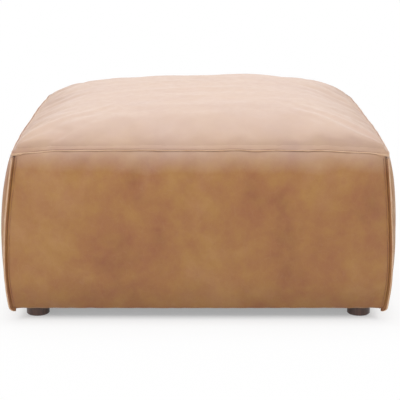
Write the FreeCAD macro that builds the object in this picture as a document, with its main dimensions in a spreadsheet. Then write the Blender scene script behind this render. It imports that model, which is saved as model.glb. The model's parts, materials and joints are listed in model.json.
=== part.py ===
"""Square leather ottoman: sprung timber frame, foam and crowned cushion, raised-seam cover, screw-in feet.

Millimetres, +Z up, front towards -Y. The origin is on the floor, under the middle of the seat.
"""
import FreeCAD, Part
import math
import os
import Sketcher

SIZES = (
    ("frame_width", 860, "outside of the boarded frame, left to right"),
    ("frame_depth", 860, "outside of the boarded frame, front to back"),
    ("frame_height", 219, "underside of the bottom rails to the top of the top rails"),
    ("rail_thickness", 22, "all rails and the stretcher"),
    ("bottom_rail_height", 70, "bottom rails and stretcher"),
    ("top_rail_height", 60, "top rails"),
    ("board_thickness", 3, "hardboard skin of the frame"),
    ("post_side", 45, "square corner posts"),
    ("block_side", 68, "square corner blocks"),
    ("block_height", 22, "corner blocks"),
    ("block_screw_out", 8, "foot's centre to a corner block's screw, outwards"),
    ("block_screw_in", 17, "foot's centre to a corner block's screw, inwards"),
    ("screw_length", 50, "wood screws, head included"),
    ("screw_diameter", 4, "shank of the wood screws"),
    ("screw_head_diameter", 8, "head of the wood screws"),
    ("screw_head_height", 3, "head of the wood screws, sunk flush"),
    ("screw_edge", 16, "rail edge to the nearest screw"),
    ("spring_wire", 3.8, "diameter of the sinuous springs' wire"),
    ("spring_half_bar", 14, "half of a spring's straight cross bar"),
    ("spring_bars", 27, "cross bars in one spring"),
    ("spring_count", 7, "springs side by side"),
    ("spring_side_gap", 75, "side rail's inner face to the middle of the nearest spring"),
    ("clip_width", 20, "spring clips, along the rail"),
    ("clip_sheet", 1.5, "thickness of the clips' steel"),
    ("clip_heel", 8, "wire centre back to the clip's fold"),
    ("clip_toe", 9, "wire centre forward to the clip's lips"),
    ("cross_wire_diameter", 2.5, "wires across the springs"),
    ("cross_wire_end_gap", 45, "side rail's inner face to the end of a cross wire"),
    ("cross_wire_offset", 130, "middle of the seat to each cross wire"),
    ("insulator_thickness", 1.2, "cloth between springs and foam"),
    ("seat_foam_thickness", 100, "firm foam block"),
    ("cushion_skirt", 43, "cushion's height below the top seam"),
    ("crown_rise", 85, "top seam to the top of the seat"),
    ("crown_run", 140, "how far in from the edge the crown flattens"),
    ("soft_gap", 0.3, "between a pad and the leather over it"),
    ("side_padding", 14, "frame to leather at the corners"),
    ("panel_bulge", 12, "outward bow of each side, more at its middle"),
    ("leather_thickness", 2, "cover leather"),
    ("seam_allowance", 7, "raised raw edge outside each seam"),
    ("hem_lap", 13.5, "leather turned in under the frame's edge"),
    ("dust_thickness", 0.8, "dust cover cloth"),
    ("dust_lap", 9.5, "dust cover's border over the turned-in leather"),
    ("staple_crown", 10, "staple, leg to leg"),
    ("staple_wire", 1.2, "staple wire's width"),
    ("staple_thickness", 0.6, "staple wire's thickness"),
    ("staple_leg", 12, "staple legs"),
    ("staple_inset", 5.5, "rail's outer face to the staple row"),
    ("staple_count", 20, "staples along each edge"),
    ("staple_end_gap", 25, "rail's inner face to the last staple of a row"),
    ("foot_diameter", 55, "turned feet"),
    ("foot_height", 28, "turned feet"),
    ("foot_bevel", 2, "bevel round the bottom of a foot"),
    ("foot_clearance", 0.7, "foot's edge to the step in the dust cover"),
    ("bolt_diameter", 8, "hanger bolts, M8"),
    ("bolt_in_foot", 20, "wood-threaded half of a bolt"),
    ("bolt_above_foot", 26, "machine-threaded half of a bolt"),
    ("nut_clearance", 0.05, "radial clearance of bolt in nut"),
    ("nut_barrel_diameter", 11, "tee nut barrel"),
    ("nut_barrel_length", 11, "tee nut barrel, sunk in the corner block"),
    ("nut_flange_diameter", 22, "tee nut flange"),
    ("nut_flange_thickness", 1.5, "tee nut flange"),
    ("bolt_hole_clearance", 0.5, "radial clearance of bolt in wood and cloth"),
    ("post_recess_clearance", 1, "room round the tee nut flange under a post"),
    ("post_recess_depth", 5, "room above the tee nut under a post"),
    ("glide_diameter", 24, "plastic glides"),
    ("glide_thickness", 2, "plastic glides"),
    ("glide_peg_diameter", 4, "peg of a glide, turning in its foot"),
    ("glide_peg_length", 6, "peg of a glide"),
    ("glide_peg_room", 0.5, "depth left above a peg"),
    ("glide_peg_clearance", 0.05, "radial clearance of a peg"),
)

SIDES = (("front", 0, "width", "depth"), ("right", 90, "depth", "width"),
         ("back", 180, "width", "depth"), ("left", 270, "depth", "width"))
CORNERS = (("front_left", -1, -1, 0), ("front_right", 1, -1, 90),
           ("back_right", 1, 1, 180), ("back_left", -1, 1, 270))
CROWN_ANGLES = (0, 30, 60, 90)


def half(outside):
    """Half of the frame, as an expression: outside is "width" or "depth"."""
    return f"(Sizes.frame_{outside} / 2)"


def rail_centre(outside):
    return f"({half(outside)} - Sizes.board_thickness - Sizes.rail_thickness / 2)"


def rail_inside(outside):
    return f"({half(outside)} - Sizes.board_thickness - Sizes.rail_thickness)"


def cover(outside):
    """From the middle to the cover's outer face at a corner."""
    return f"({half(outside)} + Sizes.side_padding + Sizes.leather_thickness)"


def hem_edge(outside):
    return f"({half(outside)} - Sizes.hem_lap)"


def foot_centre(outside):
    return (f"({hem_edge(outside)} - Sizes.dust_thickness"
            " - Sizes.foot_clearance - Sizes.foot_diameter / 2)")


# Levels above the floor.
FOOT_TOP = "(Sizes.glide_thickness + Sizes.foot_height)"
FRAME_BASE = f"({FOOT_TOP} + Sizes.dust_thickness)"
HEM_LEVEL = f"({FRAME_BASE} - Sizes.leather_thickness)"
BORDER_LEVEL = f"({HEM_LEVEL} - Sizes.dust_thickness)"
FRAME_TOP = f"({FRAME_BASE} + Sizes.frame_height)"
BLOCK_TOP = f"({FRAME_BASE} + Sizes.block_height)"
WIRE_LEVEL = f"({FRAME_TOP} + Sizes.clip_sheet + Sizes.spring_wire / 2)"
CROSS_WIRE_LEVEL = f"({WIRE_LEVEL} + Sizes.spring_wire / 2 + Sizes.cross_wire_diameter / 2)"
INSULATOR_LEVEL = f"({CROSS_WIRE_LEVEL} + Sizes.cross_wire_diameter / 2)"
FOAM_LEVEL = f"({INSULATOR_LEVEL} + Sizes.insulator_thickness)"
CUSHION_LEVEL = f"({FOAM_LEVEL} + Sizes.seat_foam_thickness)"
SEAM_LEVEL = f"({CUSHION_LEVEL} + Sizes.cushion_skirt)"
SPRING_END = rail_centre("depth")
SPRING_ROW = f"(2 * ({rail_inside('width')} - Sizes.spring_side_gap))"

document = FreeCAD.newDocument("ottoman")
sheet = document.addObject("Spreadsheet::Sheet", "Sizes")
for row, (alias, number, meaning) in enumerate(SIZES, start=1):
    sheet.set(f"A{row}", alias)
    sheet.set(f"B{row}", str(number))
    sheet.setAlias(f"B{row}", alias)
    sheet.set(f"C{row}", meaning)
document.recompute()

parts = []
cuts = []


def value(expression):
    return float(sheet.evalExpression(expression))


# ---------------------------------------------------------------- bodies, sketches and features

def new_body(label):
    body = document.addObject("PartDesign::Body", label)
    body.Label = label
    parts.append(body)
    return body


def place(part, across="0", along="0", up="0", turn=0):
    """Put a part at a point given by expressions, turned about Z by a whole number of degrees."""
    part.Placement = FreeCAD.Placement(FreeCAD.Vector(), FreeCAD.Rotation(FreeCAD.Vector(0, 0, 1), turn))
    part.setExpression("Placement.Base.x", across)
    part.setExpression("Placement.Base.y", along)
    part.setExpression("Placement.Base.z", up)


def new_sketch(body, role, offset="0"):
    """A sketch on one of the body's own planes, moved along that plane's normal."""
    plane = next(item for item in body.Origin.OriginFeatures if item.Role == role)
    sketch = body.newObject("Sketcher::SketchObject", "Sketch")
    sketch.AttachmentSupport = [(plane, "")]
    sketch.MapMode = "FlatFace"
    sketch.setExpression("AttachmentOffset.Base.z", offset)
    return sketch


def bind(sketch, constraint, expression):
    index = sketch.addConstraint(constraint)
    name = f"size{index}"
    sketch.renameConstraint(index, name)
    sketch.setExpression(f"Constraints.{name}", expression)


def outline(sketch, corners):
    """A closed outline, anticlockwise. A corner is (x, y), or (x, y, bow) where the next edge is an arc.

    A positive bow is an arc that swells outwards by that much at its middle, and a negative one inwards.
    """
    first = sketch.GeometryCount
    count = len(corners)
    points = [FreeCAD.Vector(value(corner[0]), value(corner[1]), 0) for corner in corners]
    for index, corner in enumerate(corners):
        start = points[index]
        end = points[(index + 1) % count]
        if len(corner) == 2:
            sketch.addGeometry(Part.LineSegment(start, end), False)
            continue
        run = end - start
        outwards = FreeCAD.Vector(run.y, -run.x, 0).normalize()
        middle = (start + end) * 0.5 + outwards * value(corner[2])
        sketch.addGeometry(Part.Arc(start, middle, end), False)
    for index, corner in enumerate(corners):
        following = corners[(index + 1) % count]
        edge = first + index
        is_arc = len(corner) == 3
        swells = is_arc and value(corner[2]) > 0
        start_point = 1
        end_point = 2
        if is_arc and not swells:
            start_point = 2
            end_point = 1
        bind(sketch, Sketcher.Constraint("DistanceX", -1, 1, edge, start_point, points[index].x), corner[0])
        bind(sketch, Sketcher.Constraint("DistanceY", -1, 1, edge, start_point, points[index].y), corner[1])
        next_is_dent = len(following) == 3 and value(following[2]) < 0
        next_start = 2 if next_is_dent else 1
        next_edge = first + (index + 1) % count
        sketch.addConstraint(Sketcher.Constraint("Coincident", edge, end_point, next_edge, next_start))
        if is_arc:
            half_chord_squared = (f"((({following[0]}) - ({corner[0]}))^2"
                                  f" + (({following[1]}) - ({corner[1]}))^2) / 4")
            radius = f"({half_chord_squared} + ({corner[2]})^2) / (2 * abs({corner[2]}))"
            bind(sketch, Sketcher.Constraint("Radius", edge, value(radius)), radius)


def rectangle(sketch, left, low, right, high):
    outline(sketch, ((left, low), (right, low), (right, high), (left, high)))


def circle(sketch, across, along, radius):
    centre = FreeCAD.Vector(value(across), value(along), 0)
    edge = sketch.addGeometry(Part.Circle(centre, FreeCAD.Vector(0, 0, 1), value(radius)), False)
    bind(sketch, Sketcher.Constraint("DistanceX", -1, 1, edge, 3, centre.x), across)
    bind(sketch, Sketcher.Constraint("DistanceY", -1, 1, edge, 3, centre.y), along)
    bind(sketch, Sketcher.Constraint("Radius", edge, value(radius)), radius)


def pad(body, sketch, length, reverse=False, both_ways=False):
    feature = body.newObject("PartDesign::Pad", "Pad")
    feature.Profile = sketch
    feature.setExpression("Length", length)
    feature.Reversed = reverse
    feature.Midplane = both_ways
    return feature


def pocket(body, sketch, depth, reverse=False, both_ways=False):
    feature = body.newObject("PartDesign::Pocket", "Pocket")
    feature.Profile = sketch
    feature.setExpression("Length", depth)
    feature.Reversed = reverse
    feature.Midplane = both_ways
    cuts.append(feature)
    return feature


def revolve(body, sketch):
    feature = body.newObject("PartDesign::Revolution", "Revolution")
    feature.Profile = sketch
    feature.ReferenceAxis = (sketch, ["V_Axis"])
    return feature


def repeat(body, features, role, length, count):
    """Copies of the features in a row along one of the body's own axes."""
    axis = next(item for item in body.Origin.OriginFeatures if item.Role == role)
    pattern = body.newObject("PartDesign::LinearPattern", "LinearPattern")
    pattern.Originals = features
    pattern.Direction = (axis, [""])
    pattern.setExpression("Length", length)
    pattern.setExpression("Occurrences", count)
    body.Tip = pattern
    return pattern


# ---------------------------------------------------------------- frame

RAIL_LEVELS = (
    ("bottom", "Sizes.bottom_rail_height", FRAME_BASE),
    ("top", "Sizes.top_rail_height", f"({FRAME_TOP} - Sizes.top_rail_height)"),
)


def screw_heights(rail_height):
    """The two screws at each end of a rail, above its lower edge."""
    return ("Sizes.screw_edge", f"({rail_height} - Sizes.screw_edge)")


def make_long_rail(side, turn, run, reach, level, height, base):
    """A front or back rail: runs past the side rails, which are screwed to it from outside."""
    length = f"(Sizes.frame_{run} - 2 * Sizes.board_thickness)"
    body = new_body(f"rail_{side}_{level}")
    section = new_sketch(body, "XY_Plane")
    rectangle(section, f"-{length} / 2", "-Sizes.rail_thickness / 2",
              f"{length} / 2", "Sizes.rail_thickness / 2")
    pad(body, section, height)
    shanks = new_sketch(body, "XZ_Plane")
    heads = new_sketch(body, "XZ_Plane", "Sizes.rail_thickness / 2")
    for end in (-1, 1):
        for screw_height in screw_heights(height):
            across = f"{end} * {rail_centre(run)}"
            circle(shanks, across, screw_height, "Sizes.screw_diameter / 2")
            circle(heads, across, screw_height, "Sizes.screw_head_diameter / 2")
    pocket(body, shanks, "Sizes.rail_thickness", both_ways=True)
    pocket(body, heads, "Sizes.screw_head_height")
    sign = -1 if turn == 0 else 1
    place(body, "0", f"{sign} * {rail_centre(reach)}", base, turn)


def make_short_rail(side, turn, run, reach, level, height, base):
    """A side rail, between the long rails, with a pilot hole for each screw in its ends."""
    half_length = rail_inside(run)
    pilot = "(Sizes.screw_length - Sizes.rail_thickness)"
    body = new_body(f"rail_{side}_{level}")
    section = new_sketch(body, "XY_Plane")
    rectangle(section, f"-{half_length}", "-Sizes.rail_thickness / 2",
              half_length, "Sizes.rail_thickness / 2")
    pad(body, section, height)
    for end in (-1, 1):
        holes = new_sketch(body, "YZ_Plane", f"{end} * {half_length}")
        for screw_height in screw_heights(height):
            circle(holes, "0", screw_height, "Sizes.screw_diameter / 2")
        pocket(body, holes, pilot, reverse=(end == -1))
    sign = 1 if turn == 90 else -1
    place(body, f"{sign} * {rail_centre(reach)}", "0", base, turn)


def make_board(side, turn, run, reach):
    """Hardboard over one side of the frame; the side boards cover the ends of the front and back ones."""
    long_side = turn in (90, 270)
    half_length = half(run) if long_side else f"({half(run)} - Sizes.board_thickness)"
    body = new_body(f"side_board_{side}")
    section = new_sketch(body, "XY_Plane")
    rectangle(section, f"-{half_length}", f"-{half(reach)}",
              half_length, f"-{half(reach)} + Sizes.board_thickness")
    pad(body, section, "Sizes.frame_height")
    place(body, up=FRAME_BASE, turn=turn)


def inner_corner_square(sketch, side_length):
    """A square that fills the rails' front left inside corner; its origin is at the foot's centre."""
    left = f"({foot_centre('width')} - {rail_inside('width')})"
    low = f"({foot_centre('depth')} - {rail_inside('depth')})"
    rectangle(sketch, left, low, f"{left} + {side_length}", f"{low} + {side_length}")


# Screws of a corner block, from the foot's centre towards the outside. A quarter turn swaps the two.
BLOCK_SCREW_OFFSETS = (("Sizes.block_screw_out", "-Sizes.block_screw_in"),
                       ("-Sizes.block_screw_in", "Sizes.block_screw_out"))


def make_corner_block(corner, across, along, turn):
    """Block under the corner post: holds the tee nut, and is screwed up into the post."""
    body = new_body(f"corner_block_{corner}")
    section = new_sketch(body, "XY_Plane")
    inner_corner_square(section, "Sizes.block_side")
    pad(body, section, "Sizes.block_height")
    bolt_hole = new_sketch(body, "XY_Plane")
    circle(bolt_hole, "0", "0", "Sizes.bolt_diameter / 2 + Sizes.bolt_hole_clearance")
    pocket(body, bolt_hole, "Sizes.block_height", reverse=True)
    barrel_hole = new_sketch(body, "XY_Plane", "Sizes.block_height")
    circle(barrel_hole, "0", "0", "Sizes.nut_barrel_diameter / 2")
    pocket(body, barrel_hole, "Sizes.nut_barrel_length")
    shanks = new_sketch(body, "XY_Plane")
    heads = new_sketch(body, "XY_Plane")
    for right, far in BLOCK_SCREW_OFFSETS:
        circle(shanks, f"-({right})", f"-({far})", "Sizes.screw_diameter / 2")
        circle(heads, f"-({right})", f"-({far})", "Sizes.screw_head_diameter / 2")
    pocket(body, shanks, "Sizes.block_height", reverse=True)
    pocket(body, heads, "Sizes.screw_head_height", reverse=True)
    place(body, f"{across} * {foot_centre('width')}", f"{along} * {foot_centre('depth')}",
          FRAME_BASE, turn)


def make_corner_post(corner, across, along, turn):
    """Post standing on the corner block, recessed under its foot for the tee nut and the bolt's end."""
    body = new_body(f"corner_post_{corner}")
    section = new_sketch(body, "XY_Plane")
    inner_corner_square(section, "Sizes.post_side")
    pad(body, section, "Sizes.frame_height - Sizes.block_height")
    recess = new_sketch(body, "XY_Plane")
    circle(recess, "0", "0", "Sizes.nut_flange_diameter / 2 + Sizes.post_recess_clearance")
    pocket(body, recess, "Sizes.post_recess_depth", reverse=True)
    pilots = new_sketch(body, "XY_Plane")
    for right, far in BLOCK_SCREW_OFFSETS:
        circle(pilots, f"-({right})", f"-({far})", "Sizes.screw_diameter / 2")
    pocket(body, pilots, "Sizes.screw_length - Sizes.block_height", reverse=True)
    place(body, f"{across} * {foot_centre('width')}", f"{along} * {foot_centre('depth')}",
          BLOCK_TOP, turn)


def make_stretcher():
    """Bottom stretcher between the two side rails."""
    body = new_body("centre_stretcher")
    section = new_sketch(body, "XY_Plane")
    rectangle(section, f"-{rail_inside('width')}", "-Sizes.rail_thickness / 2",
              rail_inside("width"), "Sizes.rail_thickness / 2")
    pad(body, section, "Sizes.bottom_rail_height")
    place(body, up=FRAME_BASE)


def make_frame_screws():
    """Sixteen screws, driven through the front and back rails into the ends of the side rails."""
    body = new_body("frame_screws")
    outer_face = f"({half('depth')} - Sizes.board_thickness)"
    for face in (-1, 1):
        # The normal of this plane points to the front, so the front face is on its positive side.
        shanks = new_sketch(body, "XZ_Plane", f"{-face} * {outer_face}")
        heads = new_sketch(body, "XZ_Plane", f"{-face} * {outer_face}")
        for _, height, base in RAIL_LEVELS:
            for end in (-1, 1):
                for screw_height in screw_heights(height):
                    across = f"{end} * {rail_centre('width')}"
                    up = f"{base} + {screw_height}"
                    circle(shanks, across, up, "Sizes.screw_diameter / 2")
                    circle(heads, across, up, "Sizes.screw_head_diameter / 2")
        pad(body, shanks, "Sizes.screw_length", reverse=(face == -1))
        pad(body, heads, "Sizes.screw_head_height", reverse=(face == -1))
    place(body)


def at_every_corner(sketch, offsets, radius):
    """Circles at the same offsets, towards the outside, from the centre of every foot."""
    for _, across, along, _ in CORNERS:
        for right, far in offsets:
            circle(sketch, f"{across} * ({foot_centre('width')} + {right})",
                   f"{along} * ({foot_centre('depth')} + {far})", radius)


def make_block_screws():
    """Eight screws, two up through each corner block into its post."""
    body = new_body("corner_block_screws")
    shanks = new_sketch(body, "XY_Plane")
    at_every_corner(shanks, BLOCK_SCREW_OFFSETS, "Sizes.screw_diameter / 2")
    pad(body, shanks, "Sizes.screw_length")
    heads = new_sketch(body, "XY_Plane")
    at_every_corner(heads, BLOCK_SCREW_OFFSETS, "Sizes.screw_head_diameter / 2")
    pad(body, heads, "Sizes.screw_head_height")
    place(body, up=FRAME_BASE)


# ---------------------------------------------------------------- springs

def spring_path(half_bar, pitch, bars):
    """A flat zigzag: straight cross bars joined by half circles, from front to back."""
    edges = []
    for index in range(bars):
        along = (index - (bars - 1) / 2) * pitch
        direction = 1 if index % 2 == 0 else -1
        start = FreeCAD.Vector(-direction * half_bar, along, 0)
        end = FreeCAD.Vector(direction * half_bar, along, 0)
        edges.append(Part.LineSegment(start, end).toShape())
        if index < bars - 1:
            middle = FreeCAD.Vector(direction * (half_bar + pitch / 2), along + pitch / 2, 0)
            following = FreeCAD.Vector(direction * half_bar, along + pitch, 0)
            edges.append(Part.Arc(end, middle, following).toShape())
    return Part.Wire(edges)


def make_springs():
    """Sinuous springs, each a bent wire that runs from the front rail to the back rail."""
    bars = int(value("Sizes.spring_bars"))
    pitch = 2 * value(SPRING_END) / (bars - 1)
    wire_radius = value("Sizes.spring_wire") / 2
    path = spring_path(value("Sizes.spring_half_bar"), pitch, bars)
    start = path.OrderedVertexes[0].Point
    section = Part.Wire([Part.makeCircle(wire_radius, start, FreeCAD.Vector(1, 0, 0))])
    spring = path.makePipeShell([section], True, True)
    count = int(value("Sizes.spring_count"))
    spacing = value(SPRING_ROW) / (count - 1)
    copies = []
    for index in range(count):
        copy = spring.copy()
        copy.translate(FreeCAD.Vector((index - (count - 1) / 2) * spacing, 0, 0))
        copies.append(copy)
    feature = document.addObject("Part::Feature", "sinuous_springs")
    feature.Label = "sinuous_springs"
    feature.Shape = Part.makeCompound(copies)
    parts.append(feature)
    place(feature, up=WIRE_LEVEL)


def make_spring_clips():
    """Folded steel clips on the front and back rails, each round the end bar of a spring."""
    body = new_body("spring_clips")
    sketch = new_sketch(body, "YZ_Plane", f"-{SPRING_ROW} / 2")
    heel = f"({SPRING_END} + Sizes.clip_heel)"
    toe = f"({SPRING_END} - Sizes.clip_toe)"
    inner_heel = f"({heel} - Sizes.clip_sheet)"
    sheet_top = "Sizes.clip_sheet"
    flap_low = "(Sizes.clip_sheet + Sizes.spring_wire)"
    flap_high = "(2 * Sizes.clip_sheet + Sizes.spring_wire)"
    outline(sketch, ((f"-{heel}", "0"), (f"-{toe}", "0"), (f"-{toe}", sheet_top),
                     (f"-{inner_heel}", sheet_top), (f"-{inner_heel}", flap_low),
                     (f"-{toe}", flap_low), (f"-{toe}", flap_high), (f"-{heel}", flap_high)))
    outline(sketch, ((toe, "0"), (heel, "0"), (heel, flap_high), (toe, flap_high), (toe, flap_low),
                     (inner_heel, flap_low), (inner_heel, sheet_top), (toe, sheet_top)))
    pair = pad(body, sketch, "Sizes.clip_width", both_ways=True)
    repeat(body, [pair], "X_Axis", SPRING_ROW, "Sizes.spring_count")
    place(body, up=FRAME_TOP)


def make_cross_wires():
    """Two wires across the springs, tied on top of them."""
    body = new_body("cross_wires")
    sketch = new_sketch(body, "YZ_Plane")
    for side in (-1, 1):
        circle(sketch, f"{side} * Sizes.cross_wire_offset", "0", "Sizes.cross_wire_diameter / 2")
    pad(body, sketch, f"2 * ({rail_inside('width')} - Sizes.cross_wire_end_gap)", both_ways=True)
    place(body, up=CROSS_WIRE_LEVEL)


# ---------------------------------------------------------------- padding

def make_slab(label, base, thickness):
    """A slab as large as the frame."""
    body = new_body(label)
    sketch = new_sketch(body, "XY_Plane")
    rectangle(sketch, f"-{half('width')}", f"-{half('depth')}", half("width"), half("depth"))
    pad(body, sketch, thickness)
    place(body, up=base)


def mitred_strip(sketch, run, reach, outer_inset, inner_inset, bow, inner_bow=None):
    """One side of the cover seen from above: from corner to corner, with its ends cut on the mitre.

    The insets are measured inwards from the cover's corner, and a negative one is outside it.
    """
    right = f"({cover(run)} - {outer_inset})"
    low = f"({cover(reach)} - {outer_inset})"
    inner_right = f"({cover(run)} - {inner_inset})"
    inner_low = f"({cover(reach)} - {inner_inset})"
    inner_start = (inner_right, f"-{inner_low}")
    if inner_bow:
        inner_start = (inner_right, f"-{inner_low}", f"-{inner_bow}")
    outline(sketch, ((f"-{right}", f"-{low}", bow), (right, f"-{low}"),
                     inner_start, (f"-{inner_right}", f"-{inner_low}")))


SIDE_FOAM_FACE = "(Sizes.leather_thickness + Sizes.soft_gap)"
FRAME_INSET = "(Sizes.side_padding + Sizes.leather_thickness)"


def make_side_foam(side, turn, run, reach):
    """Foam over one side of the frame and seat foam, thickest at its middle."""
    body = new_body(f"side_foam_{side}")
    sketch = new_sketch(body, "XY_Plane")
    mitred_strip(sketch, run, reach, SIDE_FOAM_FACE, FRAME_INSET, "Sizes.panel_bulge")
    pad(body, sketch, f"{CUSHION_LEVEL} - {FRAME_BASE}")
    place(body, up=FRAME_BASE, turn=turn)


def bowed_outline(sketch, inset):
    """The whole cover seen from above, inset all round, with every side bowed outwards."""
    right = f"({cover('width')} - {inset})"
    far = f"({cover('depth')} - {inset})"
    bow = "Sizes.panel_bulge"
    outline(sketch, ((f"-{right}", f"-{far}", bow), (right, f"-{far}", bow),
                     (right, far, bow), (f"-{right}", far, bow)))


def crown_sections(body, inset, lowest):
    """Outlines that follow a quarter ellipse in from the seam and up to the top of the seat."""
    sections = []
    for angle in CROWN_ANGLES:
        inwards = 1 - math.cos(math.radians(angle))
        upwards = math.sin(math.radians(angle))
        section = new_sketch(body, "XY_Plane", f"{lowest} + (Sizes.crown_rise - {inset}) * {upwards:.6f}")
        bowed_outline(section, f"({inset} + Sizes.crown_run * {inwards:.6f})")
        sections.append(section)
    return sections


def crown(body, inset, lowest, feature_type):
    sections = crown_sections(body, inset, lowest)
    feature = body.newObject(feature_type, "Crown")
    feature.Profile = sections[0]
    feature.Sections = sections[1:]
    feature.Ruled = True
    return feature


def make_crown_cushion():
    """Soft cushion: a straight skirt inside the side panels and a crown above the seam."""
    body = new_body("crown_cushion")
    skirt = new_sketch(body, "XY_Plane")
    bowed_outline(skirt, SIDE_FOAM_FACE)
    pad(body, skirt, "Sizes.cushion_skirt")
    crown(body, SIDE_FOAM_FACE, "Sizes.cushion_skirt", "PartDesign::AdditiveLoft")
    place(body, up=CUSHION_LEVEL)


# ---------------------------------------------------------------- cover

DIAGONAL = f"{math.sqrt(0.5):.6f}"


def make_leather_panel(side, turn, run, reach):
    """One side of the cover: its wall, the raised edges of its three seams and its hem."""
    body = new_body(f"leather_{side}")
    leather = "Sizes.leather_thickness"
    edge = "Sizes.seam_allowance"
    wall = new_sketch(body, "XY_Plane")
    wall_right = f"({cover(run)} - {leather} * 2 * {DIAGONAL})"
    outer_tip = f"({cover(run)} + ({edge} - {leather}) * {DIAGONAL})"
    outer_tip_low = f"-({cover(reach)} + ({edge} + {leather}) * {DIAGONAL})"
    mitre_tip = f"({cover(run)} + {edge} * {DIAGONAL})"
    mitre_tip_low = f"-({cover(reach)} + {edge} * {DIAGONAL})"
    inner_right = f"({cover(run)} - {leather})"
    inner_low = f"-({cover(reach)} - {leather})"
    outline(wall, ((f"-{wall_right}", f"-{cover(reach)}", "Sizes.panel_bulge"),
                   (wall_right, f"-{cover(reach)}"),
                   (outer_tip, outer_tip_low),
                   (mitre_tip, mitre_tip_low),
                   (inner_right, inner_low, "-Sizes.panel_bulge"),
                   (f"-{inner_right}", inner_low),
                   (f"-{mitre_tip}", mitre_tip_low),
                   (f"-{outer_tip}", outer_tip_low)))
    pad(body, wall, f"{SEAM_LEVEL} - {HEM_LEVEL}")
    hem = new_sketch(body, "XY_Plane")
    mitred_strip(hem, run, reach, "0", f"({FRAME_INSET} + Sizes.hem_lap)", "Sizes.panel_bulge")
    pad(body, hem, leather)
    lip = new_sketch(body, "XY_Plane", f"{SEAM_LEVEL} - {HEM_LEVEL}")
    mitred_strip(lip, run, reach, f"(-{edge})", leather, "Sizes.panel_bulge", "Sizes.panel_bulge")
    pad(body, lip, leather, reverse=True)
    place(body, up=HEM_LEVEL, turn=turn)


def make_leather_top():
    """Top of the cover: a hollow crown with the raised edge of its seam all round."""
    body = new_body("leather_top")
    lip = new_sketch(body, "XY_Plane")
    bowed_outline(lip, "(-Sizes.seam_allowance)")
    pad(body, lip, "Sizes.leather_thickness")
    crown(body, "0", "0", "PartDesign::AdditiveLoft")
    hollow = crown(body, "Sizes.leather_thickness", "0", "PartDesign::SubtractiveLoft")
    cuts.append(hollow)
    place(body, up=SEAM_LEVEL)


def make_dust_cover():
    """Cloth under the frame: flat against the wood, with a border stepped down over the leather."""
    body = new_body("dust_cover")
    border = new_sketch(body, "XY_Plane")
    right = f"({hem_edge('width')} + Sizes.dust_lap)"
    far = f"({hem_edge('depth')} + Sizes.dust_lap)"
    rectangle(border, f"-{right}", f"-{far}", right, far)
    pad(body, border, "Sizes.dust_thickness")
    middle = new_sketch(body, "XY_Plane")
    rectangle(middle, f"-{hem_edge('width')}", f"-{hem_edge('depth')}",
              hem_edge("width"), hem_edge("depth"))
    pad(body, middle, f"{FRAME_BASE} - {BORDER_LEVEL}")
    underside = new_sketch(body, "XY_Plane")
    step_right = f"({hem_edge('width')} - Sizes.dust_thickness)"
    step_far = f"({hem_edge('depth')} - Sizes.dust_thickness)"
    rectangle(underside, f"-{step_right}", f"-{step_far}", step_right, step_far)
    pocket(body, underside, f"{FOOT_TOP} - {BORDER_LEVEL}", reverse=True)
    bolt_holes = new_sketch(body, "XY_Plane")
    at_every_corner(bolt_holes, ((0, 0),), "Sizes.bolt_diameter / 2 + Sizes.bolt_hole_clearance")
    pocket(body, bolt_holes, f"{FRAME_BASE} - {BORDER_LEVEL}", reverse=True)
    place(body, up=BORDER_LEVEL)


def staple_rows(body, run, reach, along_x):
    """The staples of two opposite edges: a crown under the cloth and two legs up into the rail."""
    row = f"({half(reach)} - Sizes.board_thickness - Sizes.staple_inset)"
    half_row = f"({rail_inside(run)} - Sizes.staple_end_gap)"
    start = f"(-{half_row})"
    half_crown = "(Sizes.staple_crown / 2)"
    half_wire = "(Sizes.staple_wire / 2)"
    crowns = new_sketch(body, "XY_Plane")
    legs = new_sketch(body, "XY_Plane")

    def bar(sketch, side, low, high):
        near = f"({side} * {row} - {half_wire})"
        far = f"({side} * {row} + {half_wire})"
        if along_x:
            rectangle(sketch, low, near, high, far)
        else:
            rectangle(sketch, near, low, far, high)

    for side in (-1, 1):
        bar(crowns, side, f"{start} - {half_crown}", f"{start} + {half_crown}")
        bar(legs, side, f"{start} - {half_crown}", f"{start} - {half_crown} + Sizes.staple_thickness")
        bar(legs, side, f"{start} + {half_crown} - Sizes.staple_thickness", f"{start} + {half_crown}")
    crown_pad = pad(body, crowns, "Sizes.staple_thickness", reverse=True)
    leg_pad = pad(body, legs, "Sizes.staple_leg")
    axis = "X_Axis" if along_x else "Y_Axis"
    repeat(body, [crown_pad, leg_pad], axis, f"2 * {half_row}", "Sizes.staple_count")


def make_staples():
    """Staples that hold the turned-in leather and the dust cover to the bottom rails."""
    body = new_body("cover_staples")
    staple_rows(body, "width", "depth", True)
    staple_rows(body, "depth", "width", False)
    place(body, up=BORDER_LEVEL)


# ---------------------------------------------------------------- feet

def make_tee_nuts():
    """Four tee nuts, hammered into the corner blocks from above."""
    body = new_body("tee_nuts")
    centre_only = ((0, 0),)
    flanges = new_sketch(body, "XY_Plane")
    at_every_corner(flanges, centre_only, "Sizes.nut_flange_diameter / 2")
    pad(body, flanges, "Sizes.nut_flange_thickness")
    barrels = new_sketch(body, "XY_Plane")
    at_every_corner(barrels, centre_only, "Sizes.nut_barrel_diameter / 2")
    pad(body, barrels, "Sizes.nut_barrel_length", reverse=True)
    bores = new_sketch(body, "XY_Plane", "Sizes.nut_flange_thickness")
    at_every_corner(bores, centre_only, "Sizes.bolt_diameter / 2 + Sizes.nut_clearance")
    pocket(body, bores, "Sizes.nut_flange_thickness + Sizes.nut_barrel_length")
    place(body, up=BLOCK_TOP)


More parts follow.
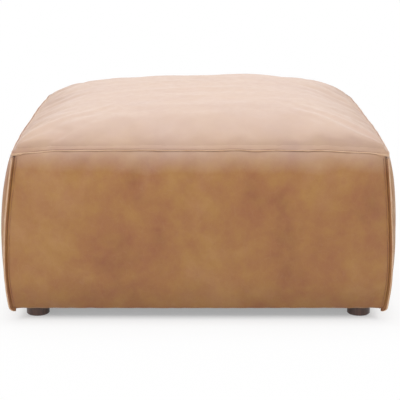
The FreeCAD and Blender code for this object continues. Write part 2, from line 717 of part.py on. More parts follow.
def make_foot(corner, across, along):
    """Turned foot, bored above for its bolt and below for its glide's peg."""
    body = new_body(f"foot_{corner}")
    profile = new_sketch(body, "XZ_Plane")
    radius = "(Sizes.foot_diameter / 2)"
    bolt_floor = "(Sizes.foot_height - Sizes.bolt_in_foot)"
    peg_radius = "(Sizes.glide_peg_diameter / 2 + Sizes.glide_peg_clearance)"
    peg_depth = "(Sizes.glide_peg_length + Sizes.glide_peg_room)"
    bolt_radius = "(Sizes.bolt_diameter / 2)"
    outline(profile, ((peg_radius, "0"), (f"{radius} - Sizes.foot_bevel", "0"),
                      (radius, "Sizes.foot_bevel"), (radius, "Sizes.foot_height"),
                      (bolt_radius, "Sizes.foot_height"), (bolt_radius, bolt_floor),
                      ("0", bolt_floor), ("0", peg_depth), (peg_radius, peg_depth)))
    revolve(body, profile)
    place(body, f"{across} * {foot_centre('width')}", f"{along} * {foot_centre('depth')}",
          "Sizes.glide_thickness")


def make_hanger_bolt(corner, across, along):
    """Bolt with wood thread in the foot and machine thread in the tee nut, both as plain cylinders."""
    body = new_body(f"hanger_bolt_{corner}")
    section = new_sketch(body, "XY_Plane")
    circle(section, "0", "0", "Sizes.bolt_diameter / 2")
    pad(body, section, "Sizes.bolt_in_foot + Sizes.bolt_above_foot")
    place(body, f"{across} * {foot_centre('width')}", f"{along} * {foot_centre('depth')}",
          f"{FOOT_TOP} - Sizes.bolt_in_foot")


def make_glide(corner, across, along):
    """Plastic glide under a foot, with a peg that turns in the foot's lower bore."""
    body = new_body(f"glide_{corner}")
    profile = new_sketch(body, "XZ_Plane")
    peg_top = "(Sizes.glide_thickness + Sizes.glide_peg_length)"
    peg_radius = "(Sizes.glide_peg_diameter / 2)"
    outline(profile, (("0", "0"), ("Sizes.glide_diameter / 2", "0"),
                      ("Sizes.glide_diameter / 2", "Sizes.glide_thickness"),
                      (peg_radius, "Sizes.glide_thickness"), (peg_radius, peg_top), ("0", peg_top)))
    revolve(body, profile)
    place(body, f"{across} * {foot_centre('width')}", f"{along} * {foot_centre('depth')}")


# ---------------------------------------------------------------- the whole ottoman

for side, turn, run, reach in SIDES:
    make_rail = make_long_rail if turn in (0, 180) else make_short_rail
    for level, height, base in RAIL_LEVELS:
        make_rail(side, turn, run, reach, level, height, base)
    make_board(side, turn, run, reach)
    make_side_foam(side, turn, run, reach)
    make_leather_panel(side, turn, run, reach)

for corner, across, along, turn in CORNERS:
    make_corner_block(corner, across, along, turn)
    make_corner_post(corner, across, along, turn)
    make_hanger_bolt(corner, across, along)
    make_foot(corner, across, along)
    make_glide(corner, across, along)

make_stretcher()
make_frame_screws()
make_block_screws()
make_tee_nuts()
make_springs()
make_spring_clips()
make_cross_wires()
make_slab("insulator_cloth", INSULATOR_LEVEL, "Sizes.insulator_thickness")
make_slab("seat_foam", FOAM_LEVEL, "Sizes.seat_foam_thickness")
make_crown_cushion()
make_leather_top()
make_dust_cover()
make_staples()

document.recompute()

for item in document.Objects:
    if "Invalid" in item.State or "Error" in item.State:
        raise RuntimeError(f"{item.Name} ({item.Label}) failed: {item.State}")
for cut in cuts:
    if cut.Shape.Volume >= cut.BaseFeature.Shape.Volume - 1e-3:
        raise RuntimeError(f"{cut.Name} removes nothing")

os.makedirs("parts", exist_ok=True)
for part in parts:
    if part.Shape.isNull() or not part.Shape.isValid():
        raise RuntimeError(f"{part.Label} has no valid shape")
    part.Shape.exportStep(f"parts/{part.Label}.step")
    print(part.Label, len(part.Shape.Solids), "solids,", round(part.Shape.Volume), "mm3")
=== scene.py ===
"""Looks of the square leather ottoman: stuffed leather cover, raised raw-edge seams, stitching and feet."""

import json
import math

import bmesh
import bpy
import numpy as np
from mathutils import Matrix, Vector, noise


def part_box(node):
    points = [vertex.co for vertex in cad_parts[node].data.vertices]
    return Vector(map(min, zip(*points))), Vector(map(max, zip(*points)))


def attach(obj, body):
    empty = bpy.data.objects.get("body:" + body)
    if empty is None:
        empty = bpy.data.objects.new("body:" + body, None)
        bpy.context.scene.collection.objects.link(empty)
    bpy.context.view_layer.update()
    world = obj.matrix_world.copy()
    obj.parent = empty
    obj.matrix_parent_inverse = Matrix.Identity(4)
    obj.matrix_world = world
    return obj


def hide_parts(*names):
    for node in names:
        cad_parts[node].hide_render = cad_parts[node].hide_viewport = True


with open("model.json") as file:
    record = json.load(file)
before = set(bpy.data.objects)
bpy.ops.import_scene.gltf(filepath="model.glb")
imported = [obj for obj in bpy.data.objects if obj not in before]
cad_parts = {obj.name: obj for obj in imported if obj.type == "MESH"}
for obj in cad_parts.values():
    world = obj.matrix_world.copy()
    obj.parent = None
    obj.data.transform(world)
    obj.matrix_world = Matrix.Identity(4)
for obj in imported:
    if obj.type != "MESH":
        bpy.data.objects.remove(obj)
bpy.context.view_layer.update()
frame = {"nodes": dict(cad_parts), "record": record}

# ---------------------------------------------------------------- sizes, in metres, from the frame

SIDES = ("front", "right", "back", "left")
CORNERS = ("front_left", "front_right", "back_right", "back_left")
BODY = "ottoman"
MM = 0.001

top_low, top_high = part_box("leather_top")
front_low, front_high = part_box("leather_front")
foam_low, foam_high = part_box("seat_foam")
dust_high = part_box("dust_cover")[1]

ALLOWANCE = 7 * MM
LEATHER = 2 * MM
HEM_INSET = 9.5 * MM
SEAM_LEVEL = top_low[2]
BASE_LEVEL = front_low[2]
CROWN_RISE = top_high[2] - top_low[2]
HALF = front_high[0] - ALLOWANCE * math.sqrt(0.5)
FRAME_HALF = foam_high[0]
HEM_HALF = dust_high[0] - HEM_INSET

# ---------------------------------------------------------------- cover before it is stuffed

COLUMNS = 84
ROLL_ROWS = 6
WALL_ROWS = 28
TURN_ROWS = 4
INNER_SPAN = 0.9
TOP = 4
VERTEX_GRID = 0.05 * MM

# The corner seams: drawn in at the top, widest at one share of the way down, and tucked in past another.
CORNER_PULLS = (22 * MM, 14 * MM, 17 * MM, 17 * MM)
LOWER_FLARE = 3 * MM
WIDEST_AT = 0.75
TUCK = 7 * MM
TUCK_START = 0.72
TUCK_SPAN = 0.28
TURN_RADIUS = 9 * MM

SEAM_BOW = 2 * MM
HEM_BOW = 4 * MM
WALL_PUFF = 18 * MM
PUFF_FALL = 0.35
SEAM_RISE = 4 * MM
SEAM_LIFT = 10 * MM
SEAM_WAVE = 1.6 * MM

# The crown: a higher power makes a flatter middle, and a lower rise a steeper edge.
ACROSS_POWER = 3.4
ACROSS_FRONT_POWER = 3
ACROSS_RISE = 0.52
ALONG_POWER = 5.0
ALONG_RISE = 0.42
CROWN_LEVEL = 0.78
CROWN_DOME = 0.16
CROWN_LEAN = 0.06
FULL_CORNER_START = 0.3
FULL_CORNER_POWER = 3

FOLD_DEPTH = 3.0 * MM
FOLD_TURNS = 40
FOLD_CENTRE = 0.16
FOLD_SPREAD = 0.22
UNDULATION = 2.2 * MM


def ripple(point, length, seed):
    """Smooth noise from -1 to 1 that changes over about the given length."""
    return noise.noise(Vector(point) / length + Vector((seed, 2.3 * seed, 0)))


def turned(turn, x, y, z):
    """A point of the front side, taken to another side by quarter turns about Z."""
    for _ in range(turn):
        x, y = -y, x
    return Vector((x, y, z))


def corner_half(corner, drop):
    """A corner seam's distance from the middle: drawn in at the top, widest low down, then tucked in."""
    pull = CORNER_PULLS[corner % 4]
    flare = (pull + LOWER_FLARE) * math.sin(math.pi / 2 * min(drop / WIDEST_AT, 1))
    return HALF - pull + flare - TUCK * (max(drop - TUCK_START, 0) / TUCK_SPAN) ** 2


def edge_spot(turn, t, drop, inset=0):
    """Where a side's line between its two corner seams is, as its place along the side and outwards."""
    start = (corner_half(turn, drop) - inset) * (1 - t) / 2
    end = (corner_half(turn + 1, drop) - inset) * (1 + t) / 2
    return end - start, end + start


def seam_height(turn, t):
    """The top seam lies a little above the plain cover's, higher between its corners, and wavers."""
    sag = SEAM_LIFT * (1 - abs(t) ** 5)
    wave = SEAM_WAVE * ripple((t, turn, 0), 0.12, 3) * (1 - t ** 8)
    return SEAM_LEVEL + SEAM_RISE + sag + wave


def seam_reach(turn, t):
    """How far the top seam bows out past the line between its corners."""
    return SEAM_BOW * (1 - t * t) + SEAM_WAVE * ripple((t, turn, 5), 0.15, 8) * (1 - t ** 8)


def wall_point(turn, t, drop):
    """A side panel: t runs from -1 to 1 along it, and drop from 0 at the top seam to 1 at the lower edge."""
    top = seam_height(turn, t)
    height = top + (BASE_LEVEL + TURN_RADIUS - top) * drop
    along, out = edge_spot(turn, t, drop)
    fullness = (max(math.sin(math.pi * drop ** 0.55), 0) * (1 - t ** 10)) ** 0.5
    puff = WALL_PUFF * (1 - PUFF_FALL * drop) * fullness
    bow = seam_reach(turn, t) * (1 - drop) + HEM_BOW * (1 - t * t) * drop
    return turned(turn, along, -(out + bow + puff), height)


def turn_under_point(turn, t, angle):
    """The lower edge, where the leather turns under the frame; the angle goes from 0 to 90 degrees."""
    inset = TURN_RADIUS * (1 - math.cos(math.radians(angle)))
    height = BASE_LEVEL + TURN_RADIUS * (1 - math.sin(math.radians(angle)))
    along, out = edge_spot(turn, t, 1, inset)
    return turned(turn, along, -(out + HEM_BOW * (1 - t * t)), height)


def hem_point(turn, t):
    """The hem, flat under the bottom rails."""
    return turned(turn, HEM_HALF * t, -HEM_HALF, BASE_LEVEL)


def crown_height(u, v):
    """Height of the stuffed seat over the seam: steep at its edges, fuller in front, flat in the middle."""
    front = max(-v, 0) ** 6
    across_power = ACROSS_POWER + ACROSS_FRONT_POWER * front + 0.6 * ripple((v, 0, 0), 0.3, 14)
    across = max(1 - abs(u) ** across_power, 0) ** ACROSS_RISE
    along_power = ALONG_POWER + 1.8 * ripple((u, v, 0), 0.22, 17)
    along = max(1 - abs(v) ** along_power, 0) ** ALONG_RISE
    dome = CROWN_LEVEL + CROWN_DOME * (1 - u * u) * (1 - v * v)
    lean = 1 + CROWN_LEAN * math.sin(math.pi * u / 1.2)
    both = across * along
    if both > 0:
        full = (across ** -FULL_CORNER_POWER + along ** -FULL_CORNER_POWER - 1) ** (-1 / FULL_CORNER_POWER)
        share = min(max(FULL_CORNER_START - v, 0), 1)
        both = both ** (1 - share) * full ** share
    return CROWN_RISE * both * dome * lean


def folds(u, v):
    """Soft folds that run in from each corner, and long shallow undulations; none at the seam itself."""
    along, off = 1 - (abs(u) + abs(v)) / 2, abs(u) - abs(v)
    corner = 2 * abs(along - FOLD_CENTRE) / 0.5
    quadrant = (1 if u > 0 else -1) + (3 if v > 0 else -3)
    phase = FOLD_TURNS * off + 3 * ripple((u, v, quadrant), 0.25, 21)
    fan = FOLD_DEPTH * math.sin(phase) * math.exp(-corner ** 2) * math.exp(-(off / FOLD_SPREAD) ** 2)
    swell = UNDULATION * ripple((u * 0.6, v * 2.2, 0), 0.3, 26) * (1 - u ** 4) * (1 - v ** 4)
    fade = min((1 - max(abs(u), abs(v))) * 14, 1)
    return (fan + swell) * fade


def top_point(u, v):
    """The top panel; u and v run from -1 to 1, and an edge of that square is one side's top seam."""
    edge = max(abs(u), abs(v), 1e-9)
    if abs(v) >= abs(u):
        turn = 0 if v < 0 else 2
        t = (u if v < 0 else -u) / edge
    else:
        turn = 1 if u > 0 else 3
        t = (v if u > 0 else -v) / edge
    reach = seam_reach(turn, t) * edge ** 4
    lift = (seam_height(turn, t) - SEAM_LEVEL) * edge ** 8
    outwards = turned(turn, 0, -reach, 0)
    height = SEAM_LEVEL + lift + crown_height(u, v) + folds(u, v)
    front_x, front_out = edge_spot(0, u, 0)
    back_x, back_out = edge_spot(2, -u, 0)
    x = (front_x * (1 - v) - back_x * (1 + v)) / 2
    y = (back_out * (1 + v) - front_out * (1 - v)) / 2
    return Vector((x + outwards.x, y + outwards.y, height))


points = []
lookup = {}
faces = []
face_panels = []


def vertex(point):
    """The number of the vertex at a point. Panels that meet at a seam share its vertices."""
    key = tuple(round(value / VERTEX_GRID) for value in point)
    if key not in lookup:
        lookup[key] = len(points)
        points.append(point)
    return lookup[key]


def add_rows(rows, panel):
    """Faces between neighbouring rows of vertices; the rows run down the outside of the cover."""
    for upper, lower in zip(rows, rows[1:]):
        for k in range(len(upper) - 1):
            faces.append((lower[k], lower[k + 1], upper[k + 1], upper[k]))
            face_panels.append(panel)


steps = [2 * k / COLUMNS - 1 for k in range(COLUMNS + 1)]
walls = []
roll_line = []
for turn in range(4):
    wall = [[vertex(wall_point(turn, t, k / WALL_ROWS)) for t in steps] for k in range(WALL_ROWS + 1)]
    for k in range(1, TURN_ROWS + 1):
        wall.append([vertex(turn_under_point(turn, t, 90 * k / TURN_ROWS)) for t in steps])
    wall.append([vertex(hem_point(turn, t)) for t in steps])
    walls.append(wall)
    add_rows(wall, turn)
    roll = []
    for k in range(ROLL_ROWS, -1, -1):
        span = 1 - (1 - INNER_SPAN) * (k / ROLL_ROWS) ** 1.5
        spots = [turned(turn, t * span, -span, 0) for t in steps]
        roll.append([vertex(top_point(spot.x, spot.y)) for spot in spots])
    roll_line += roll[-2][:-1]
    add_rows(roll, TOP)
add_rows([[vertex(top_point(u * INNER_SPAN, v * INNER_SPAN)) for u in steps] for v in reversed(steps)], TOP)


def make_object(name, vertices, polygons, smooth=True):
    """A new mesh object from its vertices and faces."""
    data = bpy.data.meshes.new(name)
    data.from_pydata([tuple(point) for point in vertices], [], polygons)
    for polygon in data.polygons:
        polygon.use_smooth = smooth
    data.update()
    item = bpy.data.objects.new(name, data)
    bpy.context.collection.objects.link(item)
    return item


# ---------------------------------------------------------------- stuffing, by cloth simulation

PRESSURE = 1.6
LAST_FRAME = 22
SPARE_LEATHER = 0.010
HEM_TOLERANCE = 0.1 * MM
SWELL_LIMIT = 12 * MM


def stuff():
    """The vertices of the cover when it is filled: its seams and hem are held, and its panels swell."""
    cover = make_object("stuffing", points, faces)
    held = cover.vertex_groups.new(name="held")
    meeting = [set() for _ in points]
    for face, panel in zip(faces, face_panels):
        for index in face:
            meeting[index].add(panel)
    hem_level = BASE_LEVEL + HEM_TOLERANCE
    fixed = [k for k, panels in enumerate(meeting) if len(panels) > 1 or points[k].z < hem_level]
    held.add(fixed, 1.0, "REPLACE")
    cloth = cover.modifiers.new("stuffing", "CLOTH")
    settings = cloth.settings
    settings.quality = 6
    settings.mass = 0.6
    settings.tension_stiffness = 60
    settings.compression_stiffness = 60
    settings.shear_stiffness = 25
    settings.bending_stiffness = 6
    settings.tension_damping = 20
    settings.compression_damping = 20
    settings.bending_damping = 2
    settings.air_damping = 4
    settings.use_pressure = True
    settings.uniform_pressure_force = PRESSURE
    settings.shrink_min = -SPARE_LEATHER
    settings.vertex_group_mass = "held"
    settings.effector_weights.gravity = 0
    cloth.collision_settings.use_collision = False
    cloth.collision_settings.use_self_collision = False
    cloth.point_cache.frame_start = 1
    cloth.point_cache.frame_end = LAST_FRAME
    for number in range(1, LAST_FRAME + 1):
        bpy.context.scene.frame_set(number)
    shaped = cover.evaluated_get(bpy.context.evaluated_depsgraph_get())
    before = np.array([tuple(point) for point in points])
    after = np.empty(len(points) * 3)
    shaped.data.vertices.foreach_get("co", after)
    bpy.context.scene.frame_set(1)
    bpy.data.objects.remove(cover)
    moved = after.reshape(-1, 3) - before
    length = np.linalg.norm(moved, axis=1)
    kept = SWELL_LIMIT * np.tanh(length / SWELL_LIMIT) / np.maximum(length, 1e-9)
    return before + moved * kept[:, None]


shape = np.array([tuple(point) for point in points])
shape = stuff()


# ---------------------------------------------------------------- normals of the cover

def panel_normals(panel):
    """The normal of one panel at each of its vertices, as a table with zeros elsewhere."""
    table = np.zeros((len(points), 3))
    for face, owner in zip(faces, face_panels):
        if owner != panel:
            continue
        corners = shape[list(face)]
        normal = np.cross(corners[2] - corners[0], corners[3] - corners[1])
        for index in face:
            table[index] += normal
    lengths = np.linalg.norm(table, axis=1)
    return table / np.maximum(lengths, 1e-12)[:, None]


normals = [panel_normals(panel) for panel in range(5)]


# ---------------------------------------------------------------- materials

def shader(name):
    """A new material and its shader, with the object's own coordinates for its textures."""
    material = bpy.data.materials.new(name)
    material.use_nodes = True
    nodes = material.node_tree.nodes
    surface = nodes["Principled BSDF"]
    spots = nodes.new("ShaderNodeTexCoord")
    return material, surface, spots.outputs["Object"]


def join(material, start, end):
    material.node_tree.links.new(start, end)


def stretched(material, spots, scale):
    """The coordinates scaled by a different amount along each axis."""
    mapping = material.node_tree.nodes.new("ShaderNodeMapping")
    mapping.inputs["Scale"].default_value = scale
    join(material, spots, mapping.inputs["Vector"])
    return mapping.outputs["Vector"]


def noise_node(material, spots, scale, detail=4.0, roughness=0.5, distortion=0.0):
    """Cloudy noise with about this many blotches a metre."""
    node = material.node_tree.nodes.new("ShaderNodeTexNoise")
    node.inputs["Scale"].default_value = scale
    node.inputs["Detail"].default_value = detail
    node.inputs["Roughness"].default_value = roughness
    node.inputs["Distortion"].default_value = distortion
    join(material, spots, node.inputs["Vector"])
    return node.outputs["Fac"]


def cell_node(material, spots, scale, feature="F1"):
    """Cells, about this many a metre: the distance from each one's middle or edge."""
    node = material.node_tree.nodes.new("ShaderNodeTexVoronoi")
    node.feature = feature
    node.inputs["Scale"].default_value = scale
    join(material, spots, node.inputs["Vector"])
    return node.outputs["Distance"]


def ramp(material, factor, stops):
    """Colours along a factor: stops are (position, colour)."""
    node = material.node_tree.nodes.new("ShaderNodeValToRGB")
    elements = node.color_ramp.elements
    while len(elements) < len(stops):
        elements.new(0.5)
    for element, (position, colour) in zip(elements, stops):
        element.position = position
        element.color = (*colour, 1)
    join(material, factor, node.inputs["Fac"])
    return node.outputs["Color"]


def levels(material, factor, low, high, start=0.3, end=0.7):
    """The factor between start and end, taken to low and high."""
    node = material.node_tree.nodes.new("ShaderNodeMapRange")
    node.inputs["From Min"].default_value = start
    node.inputs["From Max"].default_value = end
    node.inputs["To Min"].default_value = low
    node.inputs["To Max"].default_value = high
    join(material, factor, node.inputs["Value"])
    return node.outputs["Result"]


def blend_colours(material, factor, first, second):
    """A colour between two colours or sockets."""
    node = material.node_tree.nodes.new("ShaderNodeMix")
    node.data_type = "RGBA"
    if isinstance(factor, float):
        node.inputs[0].default_value = factor
    else:
        join(material, factor, node.inputs[0])
    for socket, colour in ((node.inputs[6], first), (node.inputs[7], second)):
        if isinstance(colour, tuple):
            socket.default_value = (*colour, 1)
        else:
            join(material, colour, socket)
    return node.outputs[2]


def bump(material, height, strength, distance, under=None):
    """A relief of the given height, over another one if there is one under it."""
    node = material.node_tree.nodes.new("ShaderNodeBump")
    node.inputs["Strength"].default_value = strength
    node.inputs["Distance"].default_value = distance
    join(material, height, node.inputs["Height"])
    if under is not None:
        join(material, under, node.inputs["Normal"])
    return node.outputs["Normal"]


# Where the painted sheen, a paler leather colour standing in for the overhead light, starts below the seam
# and ends above it, and how far that wanders.
PALE_LOW = 22 * MM
PALE_HIGH = 75 * MM
PALE_WANDER = 35 * MM
# Colour of the painted sheen that makes the crown paler.
PAINTED_SHEEN_COLOUR = (0.69, 0.53, 0.45)
# Colour of the painted shade along the side panels' seams.
PAINTED_SEAM_SHADE_COLOUR = (0.10, 0.045, 0.025)


def painted_sheen_and_shade(material, spots, colour):
    """Painted light on the leather: its colour is painted paler over the top, a painted sheen standing in
    for the overhead light, and darker by the floor, a painted shade.
    """
    split = material.node_tree.nodes.new("ShaderNodeSeparateXYZ")
    join(material, spots, split.inputs[0])
    wander = noise_node(material, spots, 9, detail=3)
    added = material.node_tree.nodes.new("ShaderNodeMath")
    added.operation = "MULTIPLY_ADD"
    added.inputs[1].default_value = PALE_WANDER
    join(material, wander, added.inputs[0])
    join(material, split.outputs[2], added.inputs[2])
    height = added.outputs[0]
    crown = levels(material, height, 0.0, 1.0, SEAM_LEVEL - PALE_LOW, SEAM_LEVEL + PALE_HIGH)
    # Painted sheen: the colour is mixed towards a pale colour over the crown, where the overhead light
    # falls.
    painted_sheen_share = ramp(material, crown, (
        (0.0, (0, 0, 0)), (0.28, (0.22, 0.22, 0.22)), (0.55, (0.48, 0.48, 0.48)), (1.0, (0.74, 0.74, 0.74))))
    paler = blend_colours(material, painted_sheen_share, colour, PAINTED_SHEEN_COLOUR)
    # Painted shade: the colour is darkened over the lowest part of the cover, near the floor.
    low = levels(material, height, 0.82, 1.0, 0.035, 0.13)
    shaded = material.node_tree.nodes.new("ShaderNodeVectorMath")
    shaded.operation = "SCALE"
    join(material, paler, shaded.inputs[0])
    join(material, low, shaded.inputs["Scale"])
    return shaded.outputs[0]


def leather_material(name):
    """Waxed pull-up leather: cloudy tan, fine pores, stretch creases and a soft sheen, with painted shade
    lines along the seams and a painted sheen that makes the crown paler.
    """
    material, surface, spots = shader(name)
    clouds = noise_node(material, spots, 7, detail=5, roughness=0.55, distortion=0.4)
    patches = noise_node(material, spots, 24, detail=4, roughness=0.6)
    hue = ramp(material, clouds, (
        (0.32, (0.285, 0.112, 0.048)), (0.44, (0.365, 0.158, 0.060)),
        (0.54, (0.405, 0.200, 0.066)), (0.66, (0.465, 0.246, 0.096))))
    red = ramp(material, patches, ((0.35, (0.350, 0.136, 0.064)), (0.65, (0.425, 0.215, 0.068))))
    colour = blend_colours(material, 0.45, hue, red)
    pores = cell_node(material, spots, 520)
    pebbles = cell_node(material, spots, 260, "SMOOTH_F1")
    creases = cell_node(material, stretched(material, spots, (1.0, 1.0, 0.6)), 90, "DISTANCE_TO_EDGE")
    crease_line = levels(material, creases, 1.0, 0.0, 0.0, 0.035)
    faint = blend_colours(material, levels(material, crease_line, 0.0, 0.10, 0.0, 1.0),
                          colour, (0.52, 0.33, 0.20))
    dark_pores = blend_colours(material, levels(material, pores, 0.12, 0.0, 0.05, 0.35),
                               faint, (0.20, 0.09, 0.04))
    # Painted shade: a dark line painted along the side panels' seams, where shade falls beside the raised
    # edges.
    mark = material.node_tree.nodes.new("ShaderNodeAttribute")
    mark.attribute_name = "painted_seam_shade"
    seam_shade_share = levels(material, mark.outputs["Fac"], 0.0, 0.8, 0.55, 0.95)
    toned = blend_colours(material, seam_shade_share, painted_sheen_and_shade(material, spots, dark_pores), PAINTED_SEAM_SHADE_COLOUR)
    join(material, toned, surface.inputs["Base Color"])
    gloss = noise_node(material, spots, 60, detail=3)
    join(material, levels(material, gloss, 0.40, 0.56), surface.inputs["Roughness"])
    surface.inputs["Specular IOR Level"].default_value = 0.32
    surface.inputs["Sheen Weight"].default_value = 0.08
    surface.inputs["Sheen Roughness"].default_value = 0.45
    surface.inputs["Sheen Tint"].default_value = (1.0, 0.93, 0.88, 1)
    slow = bump(material, patches, 0.12, 2 * MM)
    soft = bump(material, pebbles, 0.20, 0.35 * MM, slow)
    fine = bump(material, pores, 0.22, 0.15 * MM, soft)
    join(material, fine, surface.inputs["Normal"])
    return material


def raw_edge_material(name):
    """Cut edge of the leather: pale fibres, flecked with a darker colour."""
    material, surface, spots = shader(name)
    fibres = noise_node(material, spots, 900, detail=3, roughness=0.7)
    blotches = noise_node(material, spots, 45, detail=3)
    pale = ramp(material, blotches, ((0.3, (0.66, 0.40, 0.23)), (0.7, (0.84, 0.60, 0.41))))
    colour = blend_colours(material, levels(material, fibres, 0.0, 0.25), pale, (0.50, 0.28, 0.15))
    join(material, colour, surface.inputs["Base Color"])
    surface.inputs["Roughness"].default_value = 0.85
    surface.inputs["Sheen Weight"].default_value = 0.3
    join(material, bump(material, fibres, 0.4, 0.3 * MM), surface.inputs["Normal"])
    return material


def thread_material(name):
    """Waxed polyester thread, twisted, a shade darker and redder than the leather."""
    material, surface, spots = shader(name)
    twist = noise_node(material, spots, 1600, detail=2)
    colour = ramp(material, twist, ((0.35, (0.20, 0.075, 0.050)), (0.65, (0.32, 0.13, 0.085))))
    join(material, colour, surface.inputs["Base Color"])
    surface.inputs["Roughness"].default_value = 0.5
    join(material, bump(material, twist, 0.5, 0.2 * MM), surface.inputs["Normal"])
    return material


def wood_material(name, dark, light, grain_axis, roughness, coat):
    """Wood with its grain along one axis: streaks, pores and slow changes of colour."""
    material, surface, spots = shader(name)
    squeeze = [26.0, 26.0, 26.0]
    squeeze[grain_axis] = 1.6
    along = stretched(material, spots, squeeze)
    streaks = noise_node(material, along, 3.2, detail=6, roughness=0.6, distortion=1.2)
    fine = noise_node(material, along, 22, detail=3, roughness=0.7)
    colour = ramp(material, streaks, ((0.32, dark), (0.68, light)))
    pores = blend_colours(material, levels(material, fine, 0.5, 0.0, 0.30, 0.48), colour,
                          tuple(0.45 * channel for channel in dark))
    join(material, pores, surface.inputs["Base Color"])
    join(material, levels(material, fine, roughness + 0.1, roughness - 0.06), surface.inputs["Roughness"])
    surface.inputs["Coat Weight"].default_value = coat
    surface.inputs["Coat Roughness"].default_value = 0.25
    join(material, bump(material, fine, 0.25, 0.3 * MM), surface.inputs["Normal"])
    return material


def foam_material(name, dark, light, scale):
    """Open-cell foam or fibre: a cellular surface with slow yellowing."""
    material, surface, spots = shader(name)
    cells = cell_node(material, spots, scale)
    clouds = noise_node(material, spots, 9)
    tone = ramp(material, clouds, ((0.3, dark), (0.7, light)))
    colour = blend_colours(material, levels(material, cells, 0.35, 0.0, 0.1, 0.5), tone,
                           tuple(0.7 * channel for channel in dark))
    join(material, colour, surface.inputs["Base Color"])
    surface.inputs["Roughness"].default_value = 0.95
    join(material, bump(material, cells, 0.6, 0.6 * MM), surface.inputs["Normal"])
    return material


def cloth_material(name, dark, light, pitch):
    """Thin non-woven cloth: pressed fibres and a dotted bond pattern at the given pitch."""
    material, surface, spots = shader(name)
    along = stretched(material, spots, (1.0, 0.25, 1.0))
    fibres = noise_node(material, along, 1500, detail=3, roughness=0.7)
    dots = cell_node(material, spots, 1 / pitch)
    tone = ramp(material, fibres, ((0.3, dark), (0.7, light)))
    colour = blend_colours(material, levels(material, dots, 0.5, 0.0, 0.15, 0.35), tone,
                           tuple(0.6 * channel for channel in dark))
    join(material, colour, surface.inputs["Base Color"])
    surface.inputs["Roughness"].default_value = 0.85
    join(material, bump(material, dots, 0.5, 0.3 * MM), surface.inputs["Normal"])
    return material


def metal_material(name, dark, light, roughness, scale):
    """Zinc-plated or oil-tempered steel: brushed and slightly blotched."""
    material, surface, spots = shader(name)
    blotches = noise_node(material, spots, scale, detail=5, roughness=0.6)
    scratches = noise_node(material, stretched(material, spots, (1, 1, 12)), scale * 6, detail=3)
    join(material, ramp(material, blotches, ((0.35, dark), (0.65, light))), surface.inputs["Base Color"])
    surface.inputs["Metallic"].default_value = 1.0
    join(material, levels(material, scratches, roughness - 0.08, roughness + 0.12),
         surface.inputs["Roughness"])
    join(material, bump(material, scratches, 0.15, 0.1 * MM), surface.inputs["Normal"])
    return material


def plastic_material(name, dark, light):
    """Moulded nylon with a fine spark-eroded texture."""
    material, surface, spots = shader(name)
    grains = noise_node(material, spots, 1400, detail=2)
    join(material, ramp(material, grains, ((0.3, dark), (0.7, light))), surface.inputs["Base Color"])
    surface.inputs["Roughness"].default_value = 0.55
    join(material, bump(material, grains, 0.3, 0.1 * MM), surface.inputs["Normal"])
    return material


leather = leather_material("cover_leather")
raw_edge = raw_edge_material("leather_raw_edge")
thread = thread_material("seam_thread")
foot_wood = wood_material("foot_walnut", (0.040, 0.016, 0.012), (0.105, 0.046, 0.030), 2, 0.42, 0.25)
timber = wood_material("frame_pine", (0.46, 0.30, 0.16), (0.66, 0.48, 0.29), 0, 0.62, 0.0)
hardboard = wood_material("hardboard", (0.20, 0.115, 0.065), (0.29, 0.18, 0.11), 0, 0.70, 0.0)
foam = foam_material("seat_foam_cells", (0.70, 0.62, 0.36), (0.80, 0.74, 0.50), 420)
fibre = foam_material("cushion_fibre", (0.78, 0.77, 0.73), (0.86, 0.86, 0.84), 240)
felt = cloth_material("insulator_felt", (0.42, 0.40, 0.36), (0.60, 0.58, 0.53), 3 * MM)
black_cloth = cloth_material("black_cambric", (0.010, 0.010, 0.011), (0.030, 0.030, 0.032), 1.6 * MM)
zinc = metal_material("zinc_plate", (0.52, 0.52, 0.50), (0.72, 0.72, 0.70), 0.35, 90)
spring_steel = metal_material("spring_steel", (0.10, 0.10, 0.11), (0.22, 0.22, 0.23), 0.40, 120)
nylon = plastic_material("black_nylon", (0.018, 0.017, 0.016), (0.035, 0.033, 0.031))

NODE_MATERIALS = {
    "frame_timber": timber, "hardboard": hardboard, "foam": foam, "cushion_fibre": fibre,
    "insulator": felt, "dust_cloth": black_cloth, "zinc_steel": zinc, "spring_steel": spring_steel,
    "foot_wood": foot_wood, "glide_plastic": nylon, "cover_leather": leather,
}
for part in frame["record"]["subparts"]:
    node = frame["nodes"][part["node"]]
    node.data.materials.clear()
    node.data.materials.append(NODE_MATERIALS[part["material_slot"]])


# ---------------------------------------------------------------- leather panels

seam_points = set()
for wall in walls:
    seam_points.update(wall[0])
    seam_points.update(row[0] for row in wall)


def panel_mesh(name, panel):
    """One panel of the cover as its own piece of leather, with its seams marked for the painted shade lines
    there.
    """
    used = sorted({index for face, owner in zip(faces, face_panels) if owner == panel for index in face})
    place = {index: k for k, index in enumerate(used)}
    own_faces = [tuple(place[index] for index in face)
                 for face, owner in zip(faces, face_panels) if owner == panel]
    piece = make_object(name, shape[used], own_faces)
    # The painted seam shade: 1 at the side panels' seam vertices, 0 elsewhere.
    shade_marks = [1.0 if index in seam_points and panel != TOP else 0.0 for index in used]
    painted_seam_shade = piece.data.attributes.new("painted_seam_shade", "FLOAT", "POINT")
    painted_seam_shade.data.foreach_set("value", shade_marks)
    smooth = piece.modifiers.new("smooth", "SUBSURF")
    smooth.levels = 1
    smooth.render_levels = 1
    smooth.boundary_smooth = "PRESERVE_CORNERS"
    thick = piece.modifiers.new("thickness", "SOLIDIFY")
    thick.thickness = LEATHER
    thick.offset = -1
    piece.data.materials.append(leather)
    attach(piece, BODY)
    return piece


for panel, side in enumerate(SIDES + ("top",)):
    piece = panel_mesh(f"cover_{side}", panel)
    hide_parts(f"leather_{side}")


# ---------------------------------------------------------------- padding inside the cover

